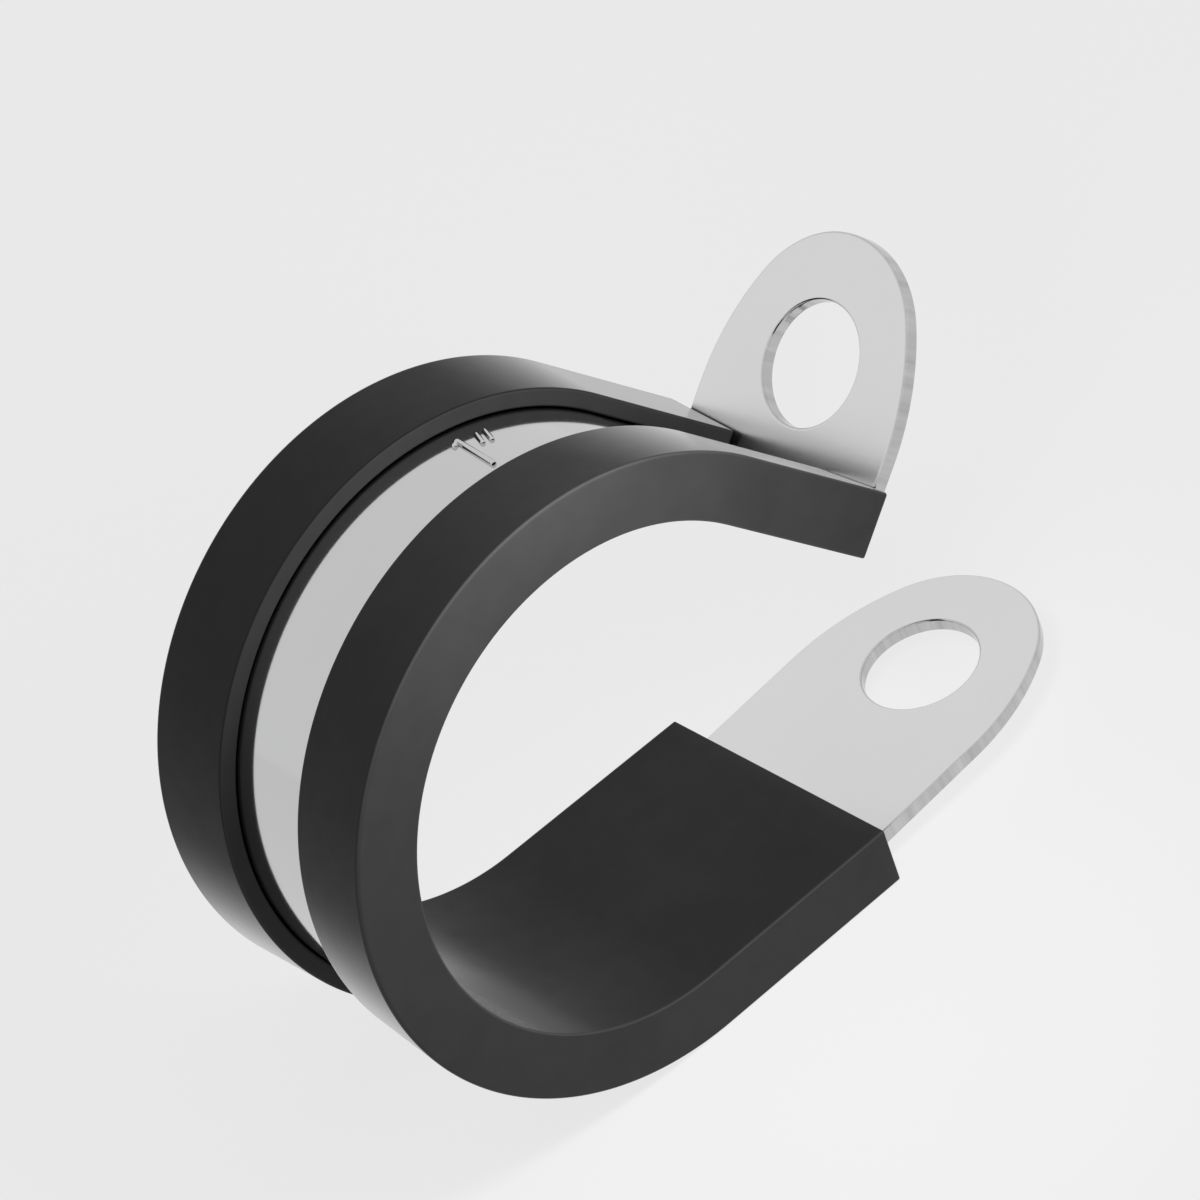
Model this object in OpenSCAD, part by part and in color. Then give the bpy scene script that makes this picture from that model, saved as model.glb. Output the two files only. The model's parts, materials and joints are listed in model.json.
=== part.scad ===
// Rubber-lined P clip: one formed steel band in an extruded rubber lining.
//
// Both pieces are a section carried along the same path: straight along the lower arm,
// round the loop and straight along the upper arm. In a section x points away from the
// cable, counted from the gripped surface, and y runs across the clip. On the path z
// points the way it is going. The origin is the loop's centre, the cable lies along Y
// and the lower arm is level.

/* [Loop] */
// Radius of the round bore that grips the cable
bore_r = 12.7; // [8:0.1:20]
// Angle that the loop turns through from one arm to the other
loop_sweep = 226.5; // [200:0.5:240]
// Straight length of the lining on the lower arm
lower_run = 11.8; // [8:0.1:16]
// Straight length of the lining on the upper arm
upper_run = 9.4; // [6:0.1:12]

/* [Lining] */
// Rubber between the cable and the band
lining_base = 1.3; // [0.8:0.05:2.5]
// Rubber beside each edge of the band
lining_wall = 1.2; // [0.6:0.05:2.5]
// Thickness of each lip at the lining's outer edge
lip_outer_t = 1.2; // [0.7:0.05:2.2]
// Thickness of each lip at the slot
lip_slot_t = 0.95; // [0.6:0.05:2]
// Width of the slot between the lips, where the band shows
slot_w = 6.2; // [3:0.1:8]
// Clearance between the band and each wall of the lining's channel
seat_gap = 0.03; // [0.01:0.01:0.2]

/* [Band] */
// Width of the steel band
band_w = 13.9; // [12:0.1:20]
// Thickness of the steel band
band_t = 0.8; // [0.5:0.05:1.5]
// Inside radius of the bend at the root of each tab
bend_r = 0.3; // [0.2:0.05:1]

/* [Tabs] */
// Angle that the lower tab rises towards the loop
lower_rise = 5.1; // [1:0.1:20]
// Angle that the upper tab turns away from the loop
upper_turn = 90; // [60:1:100]
// Bend to bolt hole on the lower tab
lower_reach = 10.3; // [8:0.1:16]
// Bend to bolt hole on the upper tab
upper_reach = 5.2; // [4.5:0.1:10]
// Diameter of the bolt hole in each tab
hole_d = 6.4; // [4:0.1:7]
// How much smaller than half the band's width the rounded tip's radius is
tip_inset = 0.95; // [0.3:0.05:1.2]
// Distance below the hole's centre at which the tab's sides start to curve in
shoulder = 3; // [2:0.1:4]
// Radius of the tab's curved sides
side_r = 13.5; // [11:0.5:16]

/* [Hidden] */
$fn = 128;

// Offsets outwards from the gripped surface
band_in = lining_base + seat_gap;
band_out = band_in + band_t;
lip_under = band_out + seat_gap;

channel_w = band_w + 2 * seat_gap;
lining_w = channel_w + 2 * lining_wall;

// Depth by which the side arcs end inside the tip's circle, so that they cross it
bite = 0.002;

// The side arcs run into the tip's circle: from one of their centres to its centre
tip_r = band_w / 2 - tip_inset;
centres = side_r - tip_r + bite;
blend_y = sqrt(centres * centres - pow(side_r - band_w / 2, 2));
blend_end = blend_y * (1 + (tip_r - bite) / centres);

steel = [0.80, 0.81, 0.82];
rubber = [0.13, 0.135, 0.14];

// ---- The path ----

// Carries a section straight on, then places what follows
module straight(run) {
    linear_extrude(run) children(0);
    translate([0, 0, run]) children([1 : $children - 1]);
}

// Carries a section round a turn towards -x, then places what follows.
// The turn's axis lies along y, r below the section's x = 0.
module turn(r, angle) translate([-r, 0, 0]) {
    rotate([90, 0, 0]) rotate_extrude(angle = angle) translate([r, 0]) children(0);
    rotate([0, -angle, 0]) translate([r, 0, 0]) children([1 : $children - 1]);
}

// Carries the first child along both arms and the loop, with the second at the
// lower arm's end and the third at the upper arm's
module clip_path() rotate([180, 90, 0]) translate([bore_r, 0, 0]) {
    mirror([0, 0, 1]) straight(lower_run) { children(0); if ($children > 1) children(1); }
    turn(bore_r, loop_sweep) {
        children(0);
        straight(upper_run) { children(0); if ($children > 2) children(2); }
    }
}

// ---- The rubber lining ----

// Half of the C-shaped channel: base, side wall and a lip that thins towards the slot
module half_channel() polygon([
    [0, 0],
    [0, lining_w / 2],
    [lip_under + lip_outer_t, lining_w / 2],
    [lip_under + lip_slot_t, slot_w / 2],
    [lip_under, slot_w / 2],
    [lip_under, channel_w / 2],
    [lining_base, channel_w / 2],
    [lining_base, 0],
]);

module channel() {
    half_channel();
    mirror([0, 1]) half_channel();
}

module rubber_lining() color(rubber) clip_path() channel();

// ---- The steel band ----

// The strip's section, from the face at x = 0 outwards
module strip() translate([0, -band_w / 2]) square([band_t, band_w]);

// A tab's outline: parallel sides that curve in to a smaller tip beyond the hole
module tab_outline(reach) difference() {
    union() {
        translate([-band_w / 2, 0]) square([band_w, reach - shoulder]);
        translate([0, reach - shoulder]) {
            intersection() {
                translate([band_w / 2 - side_r, 0]) circle(side_r);
                translate([side_r - band_w / 2, 0]) circle(side_r);
                translate([-band_w, 0]) square([2 * band_w, blend_end]);
            }
            translate([0, blend_y]) intersection() {
                circle(tip_r);
                translate([-band_w, 0]) square([2 * band_w, band_w]);
            }
        }
    }
    translate([0, reach]) circle(d = hole_d);
}

// A bend in the strip towards -x with a tab beyond it
module tab(angle, reach) turn(bend_r, angle) {
    strip();
    rotate([90, 0, 90]) linear_extrude(band_t) tab_outline(reach);
}

module steel_band() color(steel) clip_path() {
    translate([band_in, 0]) strip();
    // The lower tab bends towards the cable, so its bend is inside the strip
    translate([band_in, 0, 0]) tab(lower_rise, lower_reach);
    // The upper tab bends away from the cable, so its bend is outside the strip
    translate([band_out, 0, 0]) mirror([1, 0, 0]) tab(upper_turn, upper_reach);
}

steel_band();
rubber_lining();
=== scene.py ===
"""Looks for a rubber-lined P clip: one formed steel strip seated in an extruded rubber lining.

Both pieces are a section carried along one path, straight along the lower arm, round the
loop and straight along the upper arm. Lengths are worked out in millimetres and become
metres when a mesh is made. On the path, "outward" points away from the cable.
"""

import json

import bmesh
import bpy
import numpy as np
from mathutils import Matrix, Vector


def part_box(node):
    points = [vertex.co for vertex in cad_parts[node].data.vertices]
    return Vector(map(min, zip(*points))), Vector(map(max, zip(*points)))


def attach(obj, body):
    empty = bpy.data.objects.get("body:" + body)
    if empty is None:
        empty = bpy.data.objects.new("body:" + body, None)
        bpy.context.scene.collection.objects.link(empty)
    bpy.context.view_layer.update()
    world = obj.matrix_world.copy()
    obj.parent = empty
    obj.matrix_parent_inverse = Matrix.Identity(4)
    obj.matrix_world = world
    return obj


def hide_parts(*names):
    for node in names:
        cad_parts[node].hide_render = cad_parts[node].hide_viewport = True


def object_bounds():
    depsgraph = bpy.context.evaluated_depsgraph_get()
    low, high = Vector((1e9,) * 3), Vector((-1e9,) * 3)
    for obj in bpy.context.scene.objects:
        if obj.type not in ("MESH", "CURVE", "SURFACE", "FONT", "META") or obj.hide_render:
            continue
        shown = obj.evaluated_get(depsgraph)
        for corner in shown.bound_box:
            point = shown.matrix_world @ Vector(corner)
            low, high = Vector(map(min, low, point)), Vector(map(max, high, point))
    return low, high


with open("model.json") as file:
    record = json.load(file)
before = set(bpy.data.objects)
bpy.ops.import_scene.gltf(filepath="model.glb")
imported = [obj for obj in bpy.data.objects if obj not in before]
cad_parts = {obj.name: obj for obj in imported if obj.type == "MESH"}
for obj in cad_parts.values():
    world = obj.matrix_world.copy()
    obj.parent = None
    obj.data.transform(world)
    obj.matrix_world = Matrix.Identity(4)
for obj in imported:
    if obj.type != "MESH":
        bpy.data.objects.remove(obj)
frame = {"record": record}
cad_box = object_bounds()

MM = 0.001
ACROSS = np.array([0.0, 1.0, 0.0])

# ---- Sizes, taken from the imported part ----

mounts = {m["name"]: m for m in frame["record"]["mounts"]}
lining_low, lining_high = (np.array(c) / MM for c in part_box("rubber_lining"))
band_low, band_high = (np.array(c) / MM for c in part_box("steel_band"))


def mount(name):
    """A mount's place in millimetres and its axis."""
    m = mounts[name]
    return np.array(m["pos_m"]) / MM, np.array(m["axis"])


BORE_R = mounts["cable_bore"]["dims"]["r_mm"]
HOLE_R = mounts["lower_bolt_hole"]["dims"]["r_mm"]
BAND_T = mounts["lower_bolt_hole"]["dims"]["length_mm"]
BAND_W = band_high[1] - band_low[1]
LINING_W = lining_high[1] - lining_low[1]
LINING_T = -lining_low[2] - BORE_R
BAND_OUT = -band_low[2] - BORE_R
BAND_IN = BAND_OUT - BAND_T

# The rest repeat the part's own source, in millimetres
SEAT_GAP = 0.03
LINING_BASE = BAND_IN - SEAT_GAP
LIP_UNDER = BAND_OUT + SEAT_GAP
LIP_SLOT_T = 0.95
CHANNEL_W = BAND_W + 2 * SEAT_GAP
SLOT_W = 6.2
LOWER_RUN = 11.8
UPPER_RUN = 9.4
BEND_R = 0.3
TIP_INSET = 0.95
SHOULDER = 3.0
SIDE_R = 13.5

lower_hole, lower_axis = mount("lower_bolt_hole")
upper_hole, upper_axis = mount("upper_bolt_hole")
LOWER_RISE = np.arcsin(lower_axis[0])
SWEEP = np.pi + np.arcsin(-upper_axis[2])
LOOP_RUN = BORE_R * SWEEP


# ---- The path ----


def path_frames(along):
    """Gripped surface points, outward and forward directions at distances along the path.

    The turn so far is the distance over the bore's radius, kept between 0 and the sweep.
    Outward is (-sin, 0, -cos) of the turn and forward is its derivative. A point is the
    radius times outward, plus the distance left over times forward, so a negative
    distance runs out along the lower arm and one past the loop along the upper arm.
    """
    along = np.asarray(along, float)
    turn = np.clip(along / BORE_R, 0, SWEEP)
    nought = np.zeros_like(turn)
    outward = np.stack([-np.sin(turn), nought, -np.cos(turn)], -1)
    forward = np.stack([-np.cos(turn), nought, np.sin(turn)], -1)
    spare = (along - BORE_R * turn)[..., None]
    return BORE_R * outward + spare * forward, outward, forward


def bend_frames(start, ahead, outward, centre, angles):
    """Inner face points, outward and ahead directions round a bend in the strip.

    The bend's axis lies at a signed distance, centre, outwards from the strip's inner
    face. Ahead turns towards the axis by each angle and outward turns with it; a point
    is the axis less centre times outward.
    """
    side = np.sign(centre)
    c, s = np.cos(angles)[:, None], np.sin(angles)[:, None]
    outwards = outward * c - side * ahead * s
    aheads = ahead * c + side * outward * s
    return start + centre * outward - centre * outwards, outwards, aheads


# ---- Curves and grids ----

# Points nearer than the first are one point, and edges shorter than the second go, in metres
MERGE_WITHIN, SHORTEST_EDGE = 1.2e-7, 1e-8
CM_PER_MM = 0.1


def spread(length, count, support=0.05):
    """Fractions from 0 to 1: even steps, with one narrow step at each end."""
    inner = np.linspace(support / length, 1 - support / length, count)
    return np.concatenate([[0.0], inner, [1.0]])


def rounded(corners, radii, flats, steps):
    """An open line through corners, each inner corner rounded by its radius.

    An arc leaves its corner by the radius times the tangent of half the turn, and is
    swept about the centre that lies the radius off both lines. Flats are spread evenly.
    """
    corners = np.asarray(corners, float)
    ways = np.diff(corners, axis=0)
    ways /= np.linalg.norm(ways, axis=1, keepdims=True)
    pieces, start = [], corners[0]
    for corner, radius, before, after, count in zip(corners[1:-1], radii, ways, ways[1:], flats):
        turn = np.arctan2(before[0] * after[1] - before[1] * after[0], before @ after)
        reach = radius * np.tan(abs(turn) / 2)
        first = corner - reach * before
        side = np.sign(turn) * np.array([-before[1], before[0]])
        middle = first + radius * side
        a = np.linspace(0, turn, steps + 1)[:, None]
        spin = -side * np.cos(a) + before * np.sin(np.abs(a))
        pieces.append(start + (first - start) * spread(np.linalg.norm(first - start), count)[:, None])
        pieces.append((middle + radius * spin)[1:])
        start = pieces[-1][-1]
        pieces[-1] = pieces[-1][:-1]
    last = corners[-1]
    pieces.append(start + (last - start) * spread(np.linalg.norm(last - start), flats[-1])[:, None])
    return np.concatenate(pieces)


def sheet_faces(rows, columns):
    """Quads joining each point of a grid to its neighbours, as indices into its points."""
    index = np.arange(rows * columns).reshape(rows, columns)
    return np.stack([index[:-1, :-1], index[1:, :-1], index[1:, 1:], index[:-1, 1:]], -1).reshape(-1, 4)


def make_piece(name, grids, material, smooth_under=32.0):
    """One closed mesh from grids of points with their surface coordinates.

    Each grid is (points, measures, finish): rows by columns of places in millimetres, of
    distances along and across the strip, which become the UV map in centimetres, and of
    the share that the material reads as polish on the steel and as tone on the rubber, where it
    carries painted light and a painted highlight. Shared borders are merged, then faces are turned outwards.
    """
    verts, faces, uvs, shares, base = [], [], [], [], 0
    for points, measures, finish in grids:
        rows, columns = points.shape[:2]
        quads = sheet_faces(rows, columns)
        verts.append(points.reshape(-1, 3))
        uvs.append(measures.reshape(-1, 2)[quads])
        shares.append(np.broadcast_to(finish, (rows, columns)).reshape(-1))
        faces.append(quads + base)
        base += rows * columns
    verts, faces, uvs, shares = (np.concatenate(a) for a in (verts, faces, uvs, shares))
    mesh = bpy.data.meshes.new(name)
    mesh.from_pydata((verts * MM).tolist(), [], faces.tolist())
    layer = mesh.uv_layers.new(name="measure")
    layer.data.foreach_set("uv", (uvs.reshape(-1) * CM_PER_MM).astype(np.float32))
    finish = mesh.attributes.new(name="finish", type="FLOAT", domain="POINT")
    finish.data.foreach_set("value", shares.astype(np.float32))
    bm = bmesh.new()
    bm.from_mesh(mesh)
    bmesh.ops.remove_doubles(bm, verts=bm.verts, dist=MERGE_WITHIN)
    bmesh.ops.dissolve_degenerate(bm, dist=SHORTEST_EDGE, edges=bm.edges)
    bmesh.ops.recalc_face_normals(bm, faces=bm.faces)
    bm.to_mesh(mesh)
    bm.free()
    mesh.shade_smooth()
    mesh.set_sharp_from_angle(angle=np.radians(smooth_under))
    mesh.materials.append(material)
    piece = bpy.data.objects.new(name, mesh)
    bpy.context.scene.collection.objects.link(piece)
    return piece


# ---- Shared finishes ----


def value_node(tree, kind, x, y, **settings):
    """A node of a kind, placed for reading, with its properties set."""
    made = tree.nodes.new(kind)
    made.location = (x, y)
    for key, setting in settings.items():
        setattr(made, key, setting)
    return made


def new_group(name, inputs, outputs):
    """An empty shader group: inputs are (name, kind, default), outputs (name, kind)."""
    tree = bpy.data.node_groups.new(name, "ShaderNodeTree")
    for label, kind, default in inputs:
        socket = tree.interface.new_socket(label, in_out="INPUT", socket_type=kind)
        if default is not None:
            socket.default_value = default
    for label, kind in outputs:
        tree.interface.new_socket(label, in_out="OUTPUT", socket_type=kind)
    return tree, value_node(tree, "NodeGroupInput", -900, 0), value_node(tree, "NodeGroupOutput", 700, 0)


def fine_grain_group():
    """Grain: the mean of a coarse and a fine noise, each about nought, as one height."""
    tree, given, result = new_group(
        "fine grain",
        [("Vector", "NodeSocketVector", None), ("Coarse Scale", "NodeSocketFloat", 3000.0),
         ("Fine Scale", "NodeSocketFloat", 12000.0), ("Fine Share", "NodeSocketFloat", 0.4)],
        [("Height", "NodeSocketFloat")])
    coarse = value_node(tree, "ShaderNodeTexNoise", -600, 200, noise_dimensions="3D")
    fine = value_node(tree, "ShaderNodeTexNoise", -600, -100, noise_dimensions="3D")
    coarse.inputs["Detail"].default_value = 2.0
    fine.inputs["Detail"].default_value = 1.0
    mix = value_node(tree, "ShaderNodeMix", -200, 0, data_type="FLOAT")
    link = tree.links.new
    link(given.outputs["Vector"], coarse.inputs["Vector"])
    link(given.outputs["Vector"], fine.inputs["Vector"])
    link(given.outputs["Coarse Scale"], coarse.inputs["Scale"])
    link(given.outputs["Fine Scale"], fine.inputs["Scale"])
    link(given.outputs["Fine Share"], mix.inputs["Factor"])
    link(coarse.outputs["Fac"], mix.inputs["A"])
    link(fine.outputs["Fac"], mix.inputs["B"])
    link(mix.outputs["Result"], result.inputs["Height"])
    return tree


def drawn_lines_group():
    """Lines drawn along the strip: noise on measures that are squeezed along its length."""
    tree, given, result = new_group(
        "drawn lines",
        [("Measure", "NodeSocketVector", None), ("Stretch", "NodeSocketFloat", 0.02),
         ("Scale", "NodeSocketFloat", 60.0)],
        [("Lines", "NodeSocketFloat")])
    split = value_node(tree, "ShaderNodeSeparateXYZ", -650, 0)
    squeeze = value_node(tree, "ShaderNodeMath", -450, 100, operation="MULTIPLY")
    join = value_node(tree, "ShaderNodeCombineXYZ", -250, 0)
    noise = value_node(tree, "ShaderNodeTexNoise", -50, 0, noise_dimensions="2D")
    noise.inputs["Detail"].default_value = 3.0
    noise.inputs["Roughness"].default_value = 0.6
    link = tree.links.new
    link(given.outputs["Measure"], split.inputs[0])
    link(split.outputs["X"], squeeze.inputs[0])
    link(given.outputs["Stretch"], squeeze.inputs[1])
    link(squeeze.outputs[0], join.inputs["X"])
    link(split.outputs["Y"], join.inputs["Y"])
    link(join.outputs[0], noise.inputs["Vector"])
    link(given.outputs["Scale"], noise.inputs["Scale"])
    link(noise.outputs["Fac"], result.inputs["Lines"])
    return tree


def ranged_group():
    """Moves a value that varies from 0 to 1 into a range, for roughness or a colour's share."""
    tree, given, result = new_group(
        "ranged",
        [("Value", "NodeSocketFloat", 0.5), ("Low", "NodeSocketFloat", 0.0),
         ("High", "NodeSocketFloat", 1.0)],
        [("Value", "NodeSocketFloat")])
    span = value_node(tree, "ShaderNodeMapRange", 0, 0)
    span.inputs["From Min"].default_value = 0.3
    span.inputs["From Max"].default_value = 0.7
    link = tree.links.new
    link(given.outputs["Value"], span.inputs["Value"])
    link(given.outputs["Low"], span.inputs["To Min"])
    link(given.outputs["High"], span.inputs["To Max"])
    link(span.outputs["Result"], result.inputs["Value"])
    return tree


GRAIN = fine_grain_group()
LINES = drawn_lines_group()
RANGED = ranged_group()


def placed(tree, group, x, y, **given):
    """A shared group placed in a material, with its own numbers."""
    made = value_node(tree, "ShaderNodeGroup", x, y, node_tree=group)
    for label, number in given.items():
        made.inputs[label.replace("_", " ")].default_value = number
    return made


def new_material(name):
    """A material with its Principled shader: returns the material, tree and shader."""
    made = bpy.data.materials.new(name)
    made.use_nodes = True
    tree = made.node_tree
    return made, tree, tree.nodes["Principled BSDF"]


def steel_finish(name, satin, bright_with_painted_shade, satin_rough, bright_rough, lines_depth):
    """Stainless steel: satin where the share is 0, bright where it is 1; the bright tone is set darker than
    the satin, painted shade for the darker reflections in the slot.

    Drawn lines and a soft cloudiness move the gloss a little, and the lines the height.
    """
    made, tree, shader = new_material(name)
    link = tree.links.new
    coords = value_node(tree, "ShaderNodeTexCoord", -1300, 0)
    share = value_node(tree, "ShaderNodeAttribute", -1300, 400, attribute_name="finish")
    lines = placed(tree, LINES, -1000, 200, Stretch=0.012, Scale=90.0)
    cloud = placed(tree, GRAIN, -1000, -100, Coarse_Scale=120.0, Fine_Scale=700.0, Fine_Share=0.2)
    mixed = value_node(tree, "ShaderNodeMix", -750, 0, data_type="FLOAT")
    mixed.inputs["Factor"].default_value = 0.5
    dull = placed(tree, RANGED, -500, 0, Low=satin_rough[0], High=satin_rough[1])
    glossy = placed(tree, RANGED, -500, -180, Low=bright_rough[0], High=bright_rough[1])
    rough = value_node(tree, "ShaderNodeMix", -250, 0, data_type="FLOAT")
    # painted shade: the bright tone darker than the satin, for the slot's darker reflections
    tone = value_node(tree, "ShaderNodeMix", -450, 400, data_type="RGBA")
    tone.inputs["A"].default_value = (*satin, 1)
    tone.inputs["B"].default_value = (*bright_with_painted_shade, 1)
    fade = placed(tree, RANGED, -500, 200, Low=0.0, High=0.04)
    shade = value_node(tree, "ShaderNodeMix", -200, 300, data_type="RGBA")
    shade.inputs["B"].default_value = (0.45, 0.45, 0.45, 1)
    # the shear leaves streaks across a cut edge, drawn darker: partly the shear's own marks, partly painted
    # dark reflection
    shear = placed(tree, LINES, -1000, 700, Stretch=0.05, Scale=9.0)
    streak = placed(tree, RANGED, -750, 700, Low=0.0, High=0.5)
    is_cut = value_node(tree, "ShaderNodeMapRange", -750, 900)
    is_cut.inputs["From Min"].default_value = 1.4
    is_cut.inputs["From Max"].default_value = 1.8
    cut_share = value_node(tree, "ShaderNodeMath", -450, 700, operation="MULTIPLY")
    shear_marks_and_painted_reflection = value_node(tree, "ShaderNodeMix", 0, 500, data_type="RGBA")
    shear_marks_and_painted_reflection.inputs["B"].default_value = (0.30, 0.30, 0.305, 1)
    bump = value_node(tree, "ShaderNodeBump", -250, -250)
    bump.inputs["Strength"].default_value = 0.1
    bump.inputs["Distance"].default_value = lines_depth
    shader.inputs["Metallic"].default_value = 1.0
    link(coords.outputs["UV"], lines.inputs["Measure"])
    link(coords.outputs["Object"], cloud.inputs["Vector"])
    link(lines.outputs["Lines"], mixed.inputs["A"])
    link(cloud.outputs["Height"], mixed.inputs["B"])
    link(mixed.outputs["Result"], dull.inputs["Value"])
    link(mixed.outputs["Result"], glossy.inputs["Value"])
    link(share.outputs["Fac"], rough.inputs["Factor"])
    link(dull.outputs["Value"], rough.inputs["A"])
    link(glossy.outputs["Value"], rough.inputs["B"])
    link(rough.outputs["Result"], shader.inputs["Roughness"])
    link(share.outputs["Fac"], tone.inputs["Factor"])
    link(cloud.outputs["Height"], fade.inputs["Value"])
    link(fade.outputs["Value"], shade.inputs["Factor"])
    link(tone.outputs["Result"], shade.inputs["A"])
    link(coords.outputs["UV"], shear.inputs["Measure"])
    link(shear.outputs["Lines"], streak.inputs["Value"])
    link(share.outputs["Fac"], is_cut.inputs["Value"])
    link(streak.outputs["Value"], cut_share.inputs[0])
    link(is_cut.outputs["Result"], cut_share.inputs[1])
    link(cut_share.outputs[0], shear_marks_and_painted_reflection.inputs["Factor"])
    link(shade.outputs["Result"], shear_marks_and_painted_reflection.inputs["A"])
    link(shear_marks_and_painted_reflection.outputs["Result"], shader.inputs["Base Color"])
    link(lines.outputs["Lines"], bump.inputs["Height"])
    link(bump.outputs["Normal"], shader.inputs["Normal"])
    return made


def rubber_finish(name, fresh, lighter_and_painted_light, edge_highlight, rough_low, rough_high, shallow_rough):
    """Matt extruded rubber: fresh where the share is 0, a lighter tone at a half, which is painted light on
    the side walls, and a painted highlight at 1.

    A cloudiness moves the tone and the gloss a little; grain and faint lines along the
    extrusion make the height.
    """
    made, tree, shader = new_material(name)
    link = tree.links.new
    coords = value_node(tree, "ShaderNodeTexCoord", -1300, 0)
    cloud = placed(tree, GRAIN, -1000, 200, Coarse_Scale=160.0, Fine_Scale=900.0, Fine_Share=0.35)
    grain = placed(tree, GRAIN, -1000, -100, Coarse_Scale=3500.0, Fine_Scale=11000.0, Fine_Share=0.45)
    lines = placed(tree, LINES, -1000, -350, Stretch=0.015, Scale=45.0)
    tone = placed(tree, RANGED, -500, 250, Low=0.0, High=1.0)
    rough = placed(tree, RANGED, -500, 0, Low=rough_low, High=rough_high)
    share = value_node(tree, "ShaderNodeAttribute", -1000, 600, attribute_name="finish")
    # the ramp's tones: fresh, a lighter tone that is painted light on the side walls, and the painted edge
    # highlight
    tone_and_painted_light = value_node(tree, "ShaderNodeValToRGB", -750, 600)
    tone_and_painted_light.color_ramp.elements[0].color = (*fresh, 1)
    tone_and_painted_light.color_ramp.elements[1].color = (*edge_highlight, 1)
    tone_and_painted_light.color_ramp.elements.new(0.5).color = (*lighter_and_painted_light, 1)
    shade = value_node(tree, "ShaderNodeMix", -250, 250, data_type="RGBA", blend_type="MULTIPLY")
    shade.inputs["B"].default_value = (0.8, 0.8, 0.8, 1)
    height = value_node(tree, "ShaderNodeMix", -500, -250, data_type="FLOAT")
    height.inputs["Factor"].default_value = 0.3
    bump = value_node(tree, "ShaderNodeBump", -250, -250)
    bump.inputs["Strength"].default_value = 0.35
    bump.inputs["Distance"].default_value = 0.00002
    # the extruded skin turns glossier where it is seen at a shallow angle
    shallow = value_node(tree, "ShaderNodeLayerWeight", -750, -600)
    shallow.inputs["Blend"].default_value = 0.5
    sheen = value_node(tree, "ShaderNodeMapRange", -500, -600, interpolation_type="SMOOTHSTEP")
    sheen.inputs["From Min"].default_value = 0.58
    sheen.inputs["From Max"].default_value = 0.90
    gloss = value_node(tree, "ShaderNodeMix", -250, 0, data_type="FLOAT")
    gloss.inputs["B"].default_value = shallow_rough
    shader.inputs["Specular IOR Level"].default_value = 0.16
    shader.inputs["Coat Roughness"].default_value = shallow_rough
    shader.inputs["Coat IOR"].default_value = 1.7
    link(coords.outputs["Object"], cloud.inputs["Vector"])
    link(coords.outputs["Object"], grain.inputs["Vector"])
    link(coords.outputs["UV"], lines.inputs["Measure"])
    link(cloud.outputs["Height"], tone.inputs["Value"])
    link(cloud.outputs["Height"], rough.inputs["Value"])
    link(tone.outputs["Value"], shade.inputs["Factor"])
    link(share.outputs["Fac"], tone_and_painted_light.inputs["Fac"])
    link(tone_and_painted_light.outputs["Color"], shade.inputs["A"])
    link(shade.outputs["Result"], shader.inputs["Base Color"])
    link(shallow.outputs["Facing"], sheen.inputs["Value"])
    link(sheen.outputs["Result"], gloss.inputs["Factor"])
    link(rough.outputs["Value"], gloss.inputs["A"])
    link(gloss.outputs["Result"], shader.inputs["Roughness"])
    link(sheen.outputs["Result"], shader.inputs["Coat Weight"])
    link(grain.outputs["Height"], height.inputs["A"])
    link(lines.outputs["Lines"], height.inputs["B"])
    link(height.outputs["Result"], bump.inputs["Height"])
    link(bump.outputs["Normal"], shader.inputs["Normal"])
    return made


BRIGHT_STEEL = steel_finish(
    "rolled stainless steel", satin=(0.76, 0.76, 0.76), bright_with_painted_shade=(0.62, 0.62, 0.625),
    satin_rough=(0.19, 0.22), bright_rough=(0.07, 0.11), lines_depth=0.0000007)
BLACK_RUBBER = rubber_finish(
    "matt black rubber", fresh=(0.008, 0.0082, 0.0082), lighter_and_painted_light=(0.032, 0.032, 0.032),
    edge_highlight=(0.095, 0.095, 0.095), rough_low=0.42, rough_high=0.50, shallow_rough=0.24)


# ---- The rubber lining ----

END_EASE = 0.09
# Tone shares, from 0 fresh to 1 the edge highlight, of the base inside the loop, the slot's walls and the
# cut ends; the base's share is painted light that lifts the base inside the loop
BASE_PAINTED_LIGHT, SLOT_TONE, END_WEAR = 0.14, 0.45, 0.5
# How far the side walls' painted lighter tone reaches in from the side, and the half width of the painted
# highlight line beside the corner
EDGE_REACH, EDGE_BAND = 0.16, 0.09

def lining_chains():
    """The channel's section as two matched lines, round its outside and round its inside.

    Half of each line runs from the middle of the lip's slot face, over the lip, down the
    side wall and along the base to the middle; the other half is its mirror image.
    """
    slot_y, side_y, wall_y = SLOT_W / 2, LINING_W / 2, CHANNEL_W / 2
    lip_top = LIP_UNDER + LIP_SLOT_T
    face = LIP_UNDER + 0.45 * LIP_SLOT_T
    flats = (2, 14, 8, 24)
    outside = rounded([(face + 0.02, slot_y), (lip_top, slot_y), (LINING_T, side_y), (0, side_y), (0, 0)],
                      (0.14, 0.16, 0.12), flats, 5)
    inside = rounded([(face, slot_y), (LIP_UNDER, slot_y), (LIP_UNDER, wall_y), (LINING_BASE, wall_y),
                      (LINING_BASE, 0)], (0.19, 0.05, 0.05), flats, 5)
    both = (1, -1)
    return [np.concatenate([half, (half * both)[-2::-1]]) for half in (outside, inside)]


def shrunk(ring, depth):
    """A closed section moved inwards by a depth, along the mean of its neighbours' normals."""
    way = np.roll(ring, -1, 0) - np.roll(ring, 1, 0)
    normal = np.stack([-way[:, 1], way[:, 0]], 1) / np.linalg.norm(way, axis=1, keepdims=True)
    turned = np.sign((ring * np.roll(ring[:, ::-1] * (1, -1), -1, 0)).sum())
    return ring + depth * turned * normal


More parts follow.
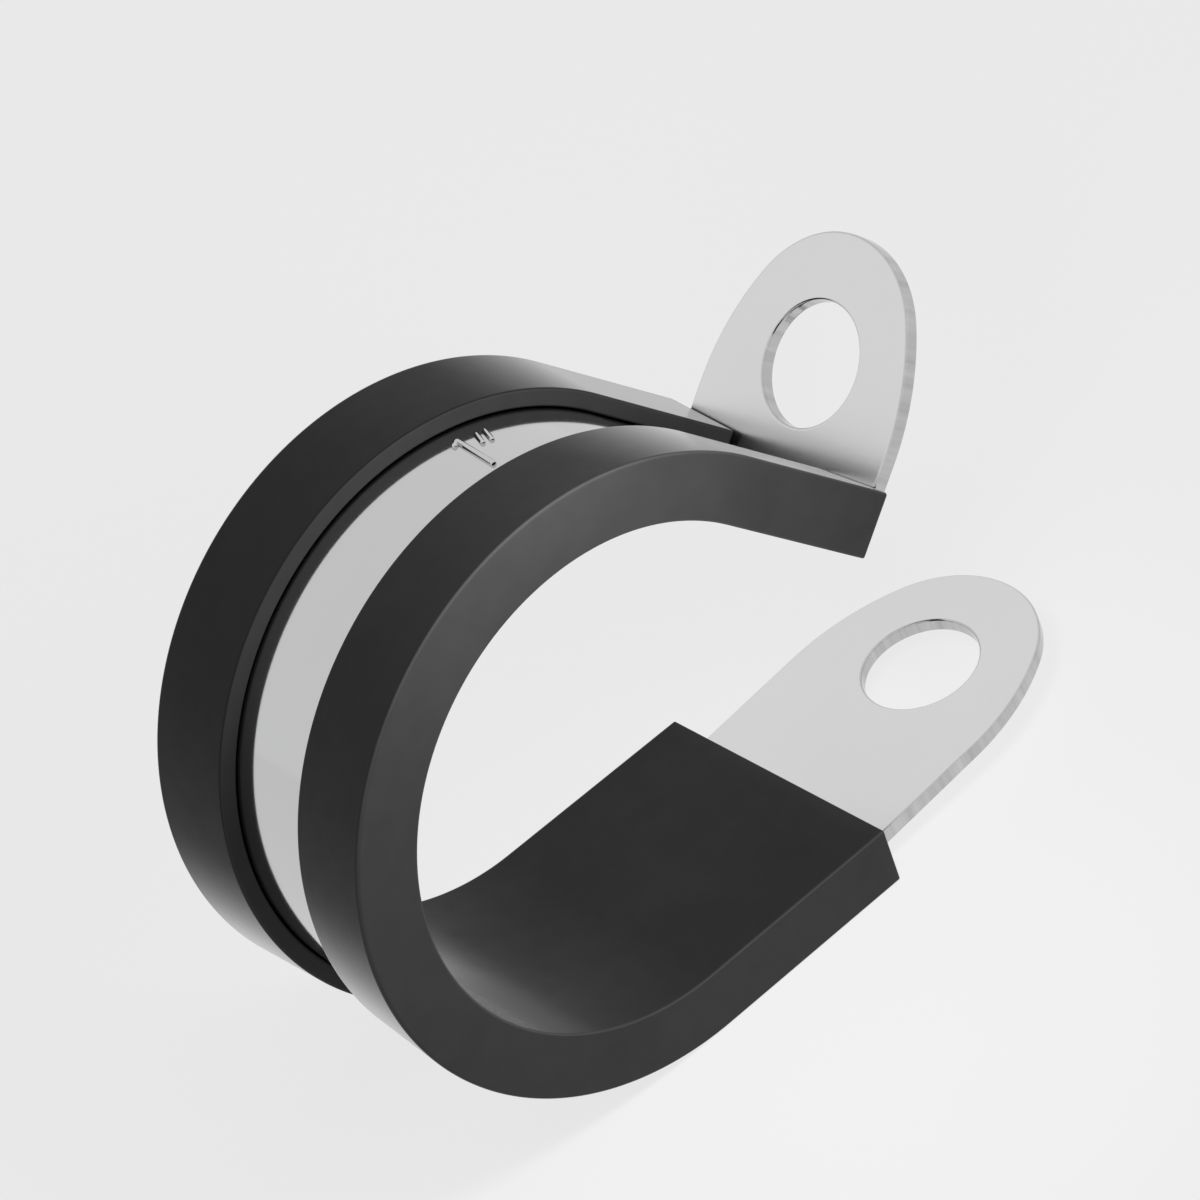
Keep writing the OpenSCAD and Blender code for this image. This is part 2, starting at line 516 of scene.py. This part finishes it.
def carry(section, along):
    """A section's points, (outwards, across), carried to distances along the path."""
    start, outward, _ = path_frames(along)
    return (start[:, None] + section[..., 0, None] * outward[:, None]
            + section[..., 1, None] * ACROSS)


def make_lining():
    """The channel carried along the whole path, its cut ends eased by END_EASE.

    At an end the section shrinks by r(1 - cos a) while it moves on by r sin a, r being END_EASE.
    """
    outside, inside = lining_chains()
    ring = np.concatenate([outside, inside[::-1]])
    turns = np.linspace(np.pi / 2, 0, 4)
    ends = (-LOWER_RUN, LOOP_RUN + UPPER_RUN)
    along = np.concatenate([
        ends[0] + END_EASE * (1 - np.sin(turns)), ends[0] + LOWER_RUN * spread(LOWER_RUN, 14)[2:-1],
        LOOP_RUN * np.linspace(0, 1, 190), LOOP_RUN + UPPER_RUN * spread(UPPER_RUN, 12)[1:-2],
        ends[1] - END_EASE * (1 - np.sin(turns[::-1]))])
    depth = np.zeros(len(along))
    depth[:4] = END_EASE * (1 - np.cos(turns))
    depth[-4:] = END_EASE * (1 - np.cos(turns[::-1]))
    sections = np.stack([shrunk(ring, d) if d > 0 else ring for d in depth])
    sections = np.concatenate([sections, sections[:, :1]], axis=1)
    skin = carry(sections, along)
    unshrunk = sections[len(along) // 2]
    round_it = np.append(0.0, np.cumsum(np.linalg.norm(np.diff(unshrunk, axis=0), axis=1)))
    measures = np.stack(np.broadcast_arrays(along[:, None], round_it[None, :]), -1)
    # painted light: both side walls a lighter tone, as where light falls on them, and a painted highlight
    # line along the rounded edges beside them
    beside = np.clip((np.abs(ring[:, 1]) - LINING_W / 2 + EDGE_REACH) / EDGE_REACH, 0, 1)
    flat_way = np.minimum(ring[:, 0], np.abs(LINING_T - ring[:, 0]))
    edge_highlight_line = np.clip(1 - np.abs(flat_way - 0.03) / EDGE_BAND, 0, 1)
    tone_and_painted_light = np.where(beside > 0, 0.5 * beside + 0.35 * edge_highlight_line, 0)
    # painted light: the base inside the loop a little lighter
    tone_and_painted_light = np.where((tone_and_painted_light == 0) & (ring[:, 0] < 0.1), BASE_PAINTED_LIGHT, tone_and_painted_light)
    # the slot's walls a lighter tone
    on_slot = (np.abs(ring[:, 1]) < SLOT_W / 2 + 0.05) & (ring[:, 0] > LIP_UNDER + 0.1)
    tone_and_painted_light = np.where(on_slot, SLOT_TONE, tone_and_painted_light)
    grids = [(skin, measures, np.append(tone_and_painted_light, tone_and_painted_light[0])[None, :])]
    count = len(outside)
    for row in (0, -1):
        cap = np.stack([skin[row, :count], skin[row, count:2 * count][::-1]])
        flat = np.stack([sections[row, :count], sections[row, count:2 * count][::-1]])
        grids.append((cap, flat, END_WEAR))
    return make_piece("lining_channel", grids, BLACK_RUBBER)


# ---- The steel band ----

EDGE = 0.13
FACE_Y = BAND_W / 2 - EDGE
# Finish of a cut edge, where 0 is satin and 1 is bright
CUT = 2
# Each tab's measures start here, so that its lines fall apart from the strip's, in millimetres
LOWER_START, UPPER_START = -20.0, 80.0


def edge_profile(steps=4):
    """A punched edge from the outer face to the inner: (inset, outwards) round two small arcs."""
    a = np.linspace(0, np.pi / 2, steps + 1)
    first = np.stack([EDGE * (1 - np.sin(a)), BAND_T - EDGE * (1 - np.cos(a))], 1)
    wall = np.linspace(BAND_T - EDGE, EDGE, 7)[1:-1]
    second = np.stack([EDGE * (1 - np.cos(a)), EDGE * (1 - np.sin(a))], 1)
    return np.concatenate([first, np.stack([0 * wall, wall], 1), second])


def tab_line(reach):
    """The tab's outline from one root corner round the tip to the other, with its normals.

    Straight sides, then arcs of radius SIDE_R tangent to them and to the tip's arc. A
    point of an arc is its centre plus its radius times (sin a, cos a), where a is the
    angle that the outline has turned through. Points are (ahead of the bend, across).
    """
    half, tip_r = BAND_W / 2, BAND_W / 2 - TIP_INSET
    lean = np.arccos((SIDE_R - half) / (SIDE_R - tip_r))
    side_u = (reach - SHOULDER) * spread(reach - SHOULDER, 24)
    turned, tip = np.linspace(0, lean, 15)[1:], np.linspace(lean, np.pi / 2, 36)[1:]
    angle = np.concatenate([np.zeros_like(side_u), turned, tip])
    normal = np.stack([np.sin(angle), np.cos(angle)], 1)
    start = np.array([reach - SHOULDER, half - SIDE_R])
    line = np.concatenate([
        np.stack([side_u, np.full_like(side_u, half)], 1),
        start + SIDE_R * normal[len(side_u):-len(tip)],
        start + (SIDE_R - tip_r) * np.array([np.sin(lean), np.cos(lean)]) + tip_r * normal[-len(tip):]])
    mirror = (1, -1)
    whole = np.concatenate([line, (line * mirror)[-2::-1]])
    return whole, np.concatenate([normal, (normal * mirror)[-2::-1]])


def tab_grids(root, outward, ahead, reach, face_y, along0):
    """A tab's plate beyond its bend: two faces, the outer edge and the hole's wall.

    A face is a ring of rays. Each joins a point of the outline, or of the bend's last
    row, to the hole's circle at the same angle about the hole's centre.
    """
    def place(flat, height):
        return root + flat[..., 0, None] * ahead + flat[..., 1, None] * ACROSS + height[..., None] * outward

    line, normal = tab_line(reach)
    profile = edge_profile()
    edge = line[:, None] - profile[None, :, :1] * normal[:, None]
    height = np.broadcast_to(profile[None, :, 1], edge.shape[:2])
    # a cut edge's measures are turned so that lines run across it
    cut = CUT * np.clip(np.minimum(profile[:, 1], BAND_T - profile[:, 1]) / (0.12 * EDGE), 0, 1)

    def round_it(rows):
        steps = np.linalg.norm(np.diff(rows[:, 3], axis=0), axis=1)
        return np.broadcast_to(along0 + np.append(0, np.cumsum(steps))[:, None], rows.shape[:2])

    grids = [(place(edge, height), np.stack([height, round_it(edge)], -1), cut)]
    centre = np.array([reach, 0.0])
    row = np.stack([np.zeros_like(face_y), face_y], 1)
    border = np.concatenate([row, edge[1:, 0]])
    ray = border - centre
    ray /= np.linalg.norm(ray, axis=1, keepdims=True)
    wall = centre + ray[:, None] * (HOLE_R + profile[None, :, :1])
    height = np.broadcast_to(profile[None, :, 1], wall.shape[:2])
    grids.append((place(wall, height), np.stack([height, round_it(wall)], -1), cut))
    steps = spread(4.0, 12)
    face = wall[:, :1] + (border[:, None] - wall[:, :1]) * steps[None, :, None]
    for level in (BAND_T, 0.0):
        height = np.full(face.shape[:2], level)
        grids.append((place(face, height), np.stack([along0 + face[..., 0], face[..., 1]], -1), 0.0))
    return grids


def make_band():
    """The strip's rounded section carried from bend to bend, with a punched tab at each end."""
    face_y = FACE_Y * np.concatenate([[-1], np.linspace(-1 + 0.01, 1 - 0.01, 56), [1]])
    profile = edge_profile()
    # round the section: the outer face, one edge, the inner face, the other edge
    outer = np.stack([np.full_like(face_y, BAND_T), face_y], 1)
    far = np.stack([profile[:, 1], BAND_W / 2 - profile[:, 0]], 1)
    section = np.concatenate([outer, far[1:], (outer * (0, -1))[1:], (far[::-1] * (1, -1))[1:]])
    along = np.concatenate([
        -LOWER_RUN * spread(LOWER_RUN, 10)[::-1], LOOP_RUN * np.linspace(0, 1, 200)[1:],
        LOOP_RUN + UPPER_RUN * spread(UPPER_RUN, 8)[1:]])
    start, outward, forward = path_frames(along)
    start = start + BAND_IN * outward
    lower = bend_frames(start[0], -forward[0], outward[0], -BEND_R, np.linspace(0, LOWER_RISE, 4))
    upper = bend_frames(start[-1], forward[-1], outward[-1], BEND_R + BAND_T, np.linspace(0, np.pi / 2, 15))
    starts = np.concatenate([lower[0][:0:-1], start, upper[0][1:]])
    outwards = np.concatenate([lower[1][:0:-1], outward, upper[1][1:]])
    strip = starts[:, None] + section[None, :, :1] * outwards[:, None] + section[None, :, 1:] * ACROSS
    run = np.concatenate([[0.0], np.cumsum(np.linalg.norm(np.diff(starts, axis=0), axis=1))])
    girth = np.concatenate([[0.0], np.cumsum(np.linalg.norm(np.diff(section, axis=0), axis=1))])
    # satin at both bends, bright within a few millimetres of them
    polish = np.clip(np.minimum(run, run[-1] - run) / 3.0 - 0.4, 0, 1)[:, None]
    grids = [(strip, np.stack(np.broadcast_arrays(run[:, None], girth[None, :]), -1), polish)]
    lower_reach = (lower_hole - lower[0][-1]) @ lower[2][-1]
    upper_reach = (upper_hole - upper[0][-1]) @ upper[2][-1]
    grids += tab_grids(lower[0][-1], lower[1][-1], lower[2][-1], lower_reach, face_y, LOWER_START)
    grids += tab_grids(upper[0][-1], upper[1][-1], upper[2][-1], upper_reach, face_y, UPPER_START)
    return make_piece("formed_band", grids, BRIGHT_STEEL)


# ---- The raised size mark ----

# Each stroke is a line of (turn in degrees, across in millimetres) on the band in the slot
ONE = [(189.0, 1.50), (190.9, 1.95), (189.7, -1.45)]
FIRST_TICK = [(194.9, 1.84), (193.3, 0.64)]
SECOND_TICK = [(196.9, 1.87), (195.2, 0.58)]
# Half width and rise of a stroke in millimetres
ONE_SIZE, TICK_SIZE = (0.17, 0.20), (0.15, 0.17)


def stroke(corners, half_width, rise, count=70, round_count=18):
    """A raised round-topped ridge along a line on the band, half of it sunk in the steel.

    The line is measured by length and its corner smoothed. A ring is an ellipse about the
    line, sideways and outwards, and shrinks at each end by sqrt(1 - t^2).
    """
    line = np.array(corners) * (np.radians(1) * (BORE_R + BAND_OUT), 1)
    lengths = np.concatenate([[0.0], np.cumsum(np.linalg.norm(np.diff(line, axis=0), axis=1))])
    total = lengths[-1]
    ends = half_width * (1 - np.cos(np.linspace(0, np.pi / 2, 9)))
    at = np.concatenate([ends, np.linspace(half_width, total - half_width, count)[1:-1], total - ends[::-1]])
    soft = np.linspace(-1.2, 1.2, 9) * half_width
    middle = np.mean([[np.interp(at + d, lengths, line[:, k]) for k in (0, 1)] for d in soft], axis=0).T
    way = np.gradient(middle, axis=0)
    way /= np.linalg.norm(way, axis=1, keepdims=True)
    out_of_end = np.clip((half_width - np.minimum(at, total - at)) / half_width, 0, 1)
    size = np.sqrt(np.clip(1 - out_of_end**2, 0, 1))
    a = np.linspace(0, 2 * np.pi, round_count + 1)
    sideways = np.stack([-way[:, 1], way[:, 0]], 1)
    flat = middle[:, None] + (half_width * size[:, None] * np.cos(a))[..., None] * sideways[:, None]
    lift = rise * size[:, None] * np.sin(a)
    start, outward, _ = path_frames(flat[..., 0] * BORE_R / (BORE_R + BAND_OUT))
    points = start + (BAND_OUT + lift)[..., None] * outward + flat[..., 1, None] * ACROSS
    return points, flat, 1.0


def make_mark():
    """The numeral and the two ticks of an inch size, as three small closed ridges."""
    strokes = [stroke(ONE, *ONE_SIZE)]
    strokes += [stroke(tick, *TICK_SIZE, count=30) for tick in (FIRST_TICK, SECOND_TICK)]
    return make_piece("size_mark", strokes, BRIGHT_STEEL, smooth_under=80.0)


lining = make_lining()
band = make_band()
mark = make_mark()
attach(mark, "root")
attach(lining, "root")
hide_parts("rubber_lining")
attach(band, "root")
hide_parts("steel_band")


# ---- The camera ----


def set_camera(azimuth, elevation, roll, target, distance, lens):
    """A camera on a sphere about a target, turned about its own axis by roll."""
    az, el, ro = np.radians([azimuth, elevation, roll])
    back = np.array([np.sin(az) * np.cos(el), -np.cos(az) * np.cos(el), np.sin(el)])
    right = np.cross(-back, [0, 0, 1])
    right /= np.linalg.norm(right)
    up = np.cross(right, -back)
    x_axis = right * np.cos(ro) + up * np.sin(ro)
    y_axis = -right * np.sin(ro) + up * np.cos(ro)
    data = bpy.data.cameras.new("camera")
    data.lens = lens
    data.sensor_width = 36.0
    data.clip_start, data.clip_end = 0.01, 20.0
    camera = bpy.data.objects.new("camera", data)
    bpy.context.scene.collection.objects.link(camera)
    place = Matrix(np.column_stack([x_axis, y_axis, back]).tolist()).to_4x4()
    place.translation = Vector((np.array(target) + back * distance) * MM)
    camera.matrix_world = place
    bpy.context.scene.camera = camera


set_camera(azimuth=-28.03, elevation=35.56, roll=-20.83, target=(5.87, 0.0, 3.36),
           distance=203.84, lens=127.22)


# ---- The floor, the studio and its lamp ----

# Tones of the background, and how much of the floor's tone doesn't depend on the light
FLOOR_TONE, FLOOR_SHARE = 0.90, 0.85
BACKDROP_TONE = 0.855
FLOOR_HALF = 0.5
# The soft key light's direction, its level and the level of the dimmest side
KEY_WAY = Vector((0.35, -0.85, 0.40)).normalized()
KEY_LEVEL, DIM_LEVEL = 0.78, 0.11


def backdrop_rays(tree):
    """One for camera, glossy and transmission rays, which meet the pale background, else nought."""
    path = value_node(tree, "ShaderNodeLightPath", -900, 300)
    first = value_node(tree, "ShaderNodeMath", -700, 300, operation="ADD", use_clamp=True)
    both = value_node(tree, "ShaderNodeMath", -500, 300, operation="ADD", use_clamp=True)
    tree.links.new(path.outputs["Is Camera Ray"], first.inputs[0])
    tree.links.new(path.outputs["Is Glossy Ray"], first.inputs[1])
    tree.links.new(first.outputs[0], both.inputs[0])
    tree.links.new(path.outputs["Is Transmission Ray"], both.inputs[1])
    return both.outputs[0]


def make_floor():
    """A plain pale sheet under the clip, shown a little evenly lit so that its shadow stays soft."""
    low, half = cad_box[0][2], FLOOR_HALF
    corners = [(-half, -half, low), (half, -half, low), (half, half, low), (-half, half, low)]
    mesh = bpy.data.meshes.new("floor")
    mesh.from_pydata(corners, [], [(0, 1, 2, 3)])
    made = bpy.data.materials.new("pale floor")
    made.use_nodes = True
    tree = made.node_tree
    tree.nodes.clear()
    link = tree.links.new
    out = value_node(tree, "ShaderNodeOutputMaterial", 600, 0)
    lit = value_node(tree, "ShaderNodeBsdfDiffuse", 0, 100)
    lit.inputs["Color"].default_value = (0.80, 0.80, 0.80, 1)
    glow = value_node(tree, "ShaderNodeEmission", 0, -100)
    glow.inputs["Color"].default_value = (FLOOR_TONE, FLOOR_TONE, FLOOR_TONE, 1)
    share = value_node(tree, "ShaderNodeMath", -200, 300, operation="MULTIPLY")
    share.inputs[1].default_value = FLOOR_SHARE
    mix = value_node(tree, "ShaderNodeMixShader", 300, 0)
    link(backdrop_rays(tree), share.inputs[0])
    link(share.outputs[0], mix.inputs["Fac"])
    link(lit.outputs[0], mix.inputs[1])
    link(glow.outputs[0], mix.inputs[2])
    link(mix.outputs[0], out.inputs["Surface"])
    mesh.materials.append(made)
    floor = bpy.data.objects.new("floor", mesh)
    bpy.context.scene.collection.objects.link(floor)


make_floor()


def set_world():
    """The studio: a broad soft key for matt surfaces, and a plain pale background all round."""
    world = bpy.data.worlds.new("studio")
    bpy.context.scene.world = world
    world.use_nodes = True
    tree = world.node_tree
    tree.nodes.clear()
    link = tree.links.new
    out = value_node(tree, "ShaderNodeOutputWorld", 900, 0)
    coords = value_node(tree, "ShaderNodeTexCoord", -900, -300)
    towards = value_node(tree, "ShaderNodeVectorMath", -700, -300, operation="DOT_PRODUCT")
    towards.inputs[1].default_value = KEY_WAY
    facing = value_node(tree, "ShaderNodeMath", -500, -300, operation="MAXIMUM")
    facing.inputs[1].default_value = 0.0
    level = value_node(tree, "ShaderNodeMath", -300, -300, operation="MULTIPLY_ADD")
    level.inputs[1].default_value = KEY_LEVEL
    level.inputs[2].default_value = DIM_LEVEL
    even = value_node(tree, "ShaderNodeBackground", 300, -50)
    even.inputs["Color"].default_value = (1, 1, 1, 1)
    pale = value_node(tree, "ShaderNodeBackground", 300, -200)
    pale.inputs["Color"].default_value = (BACKDROP_TONE, BACKDROP_TONE, BACKDROP_TONE, 1)
    seen = value_node(tree, "ShaderNodeMixShader", 700, 0)
    link(coords.outputs["Generated"], towards.inputs[0])
    link(towards.outputs["Value"], facing.inputs[0])
    link(facing.outputs[0], level.inputs[0])
    link(level.outputs[0], even.inputs["Strength"])
    link(backdrop_rays(tree), seen.inputs["Fac"])
    link(even.outputs[0], seen.inputs[1])
    link(pale.outputs[0], seen.inputs[2])
    link(seen.outputs[0], out.inputs["Surface"])


set_world()


def soft_box(name, place, target, size, watts):
    """A square area lamp at a place in millimetres, facing a target."""
    data = bpy.data.lights.new(name, "AREA")
    data.shape = "SQUARE"
    data.size = size * MM
    data.energy = watts
    lamp = bpy.data.objects.new(name, data)
    bpy.context.scene.collection.objects.link(lamp)
    way = Vector(np.array(target, float) - np.array(place, float))
    lamp.rotation_mode = "QUATERNION"
    lamp.rotation_quaternion = way.to_track_quat("-Z", "Y")
    lamp.location = Vector(np.array(place, float) * MM)
    return lamp


fill = soft_box("front fill", (2, -24, 28), (0, -6, 8), 12, 0.0152)
fill.visible_camera = False
fill.visible_glossy = False

view = bpy.context.scene.view_settings
view.view_transform = "Standard"
